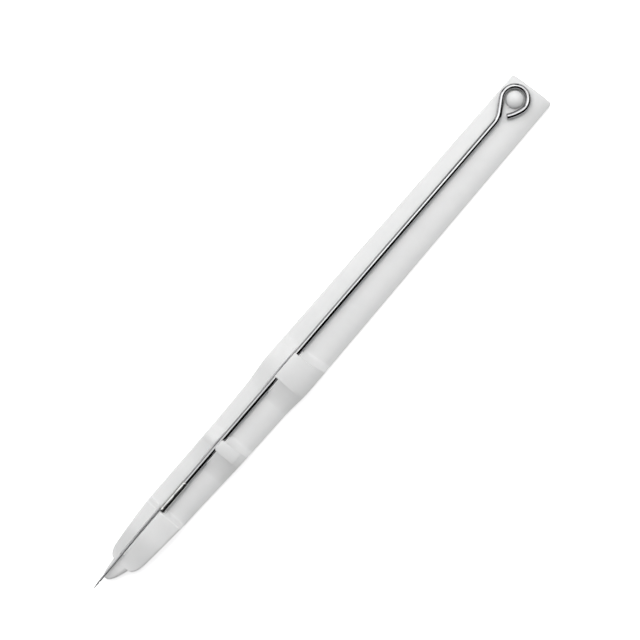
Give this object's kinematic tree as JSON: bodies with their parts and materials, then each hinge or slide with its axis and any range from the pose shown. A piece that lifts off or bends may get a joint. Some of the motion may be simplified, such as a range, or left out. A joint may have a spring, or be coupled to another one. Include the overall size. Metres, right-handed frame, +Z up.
{
  "type": "needle threader",
  "caption": "Slim steel needle threader with a finger eye and a fine hooked needle, stowed in a moulded plastic holder with a peg, clips and a slit nose guard.",
  "frame": {"origin": "on the surface the holder lies on, under the middle of the whole threader and holder", "axes": "+X along the tool from the needle's tip to the finger eye, +Y towards the edge nearer the wire, +Z up out of the holder's back"},
  "size_m": [0.15, 0.0124, 0.0053],
  "materials": {
    "polished_steel": "polished drawn wire",
    "dull_steel": "satin crimped sleeve",
    "dark_steel": "tempered fine wire",
    "white_moulding": "fine matt polypropylene"
  },
  "bodies": {
    "holder": {"holder_strip": "white_moulding", "nose_guard": "white_moulding", "tip_tongue": "white_moulding", "eye_peg": "white_moulding"},
    "threader": {"rod": "polished_steel", "finger_eye": "polished_steel", "ferrule": "dull_steel", "hook_needle": "dark_steel"},
    "middle_clip": {"middle_clip": "white_moulding"},
    "lower_clip": {"lower_clip": "white_moulding"}
  },
  "joints": [
    {"name": "threader_lift", "type": "slide", "parent": "holder", "child": "threader", "axis": [0, 0, 1], "range_m": [0, 0.005]},
    {"name": "middle_clip_flex", "type": "hinge", "parent": "holder", "child": "middle_clip", "pos_m": [-0.0088, -0.0033, 0.00512], "axis": [1, 0, 0], "range_deg": [0, 66]},
    {"name": "lower_clip_flex", "type": "hinge", "parent": "holder", "child": "lower_clip", "pos_m": [-0.0321, -0.0033, 0.00512], "axis": [1, 0, 0], "range_deg": [0, 66]}
  ],
  "couplings": [
    {"joint": "middle_clip_flex", "follows": "threader_lift", "rad_per_m": 226},
    {"joint": "lower_clip_flex", "follows": "threader_lift", "rad_per_m": 226}
  ]
}
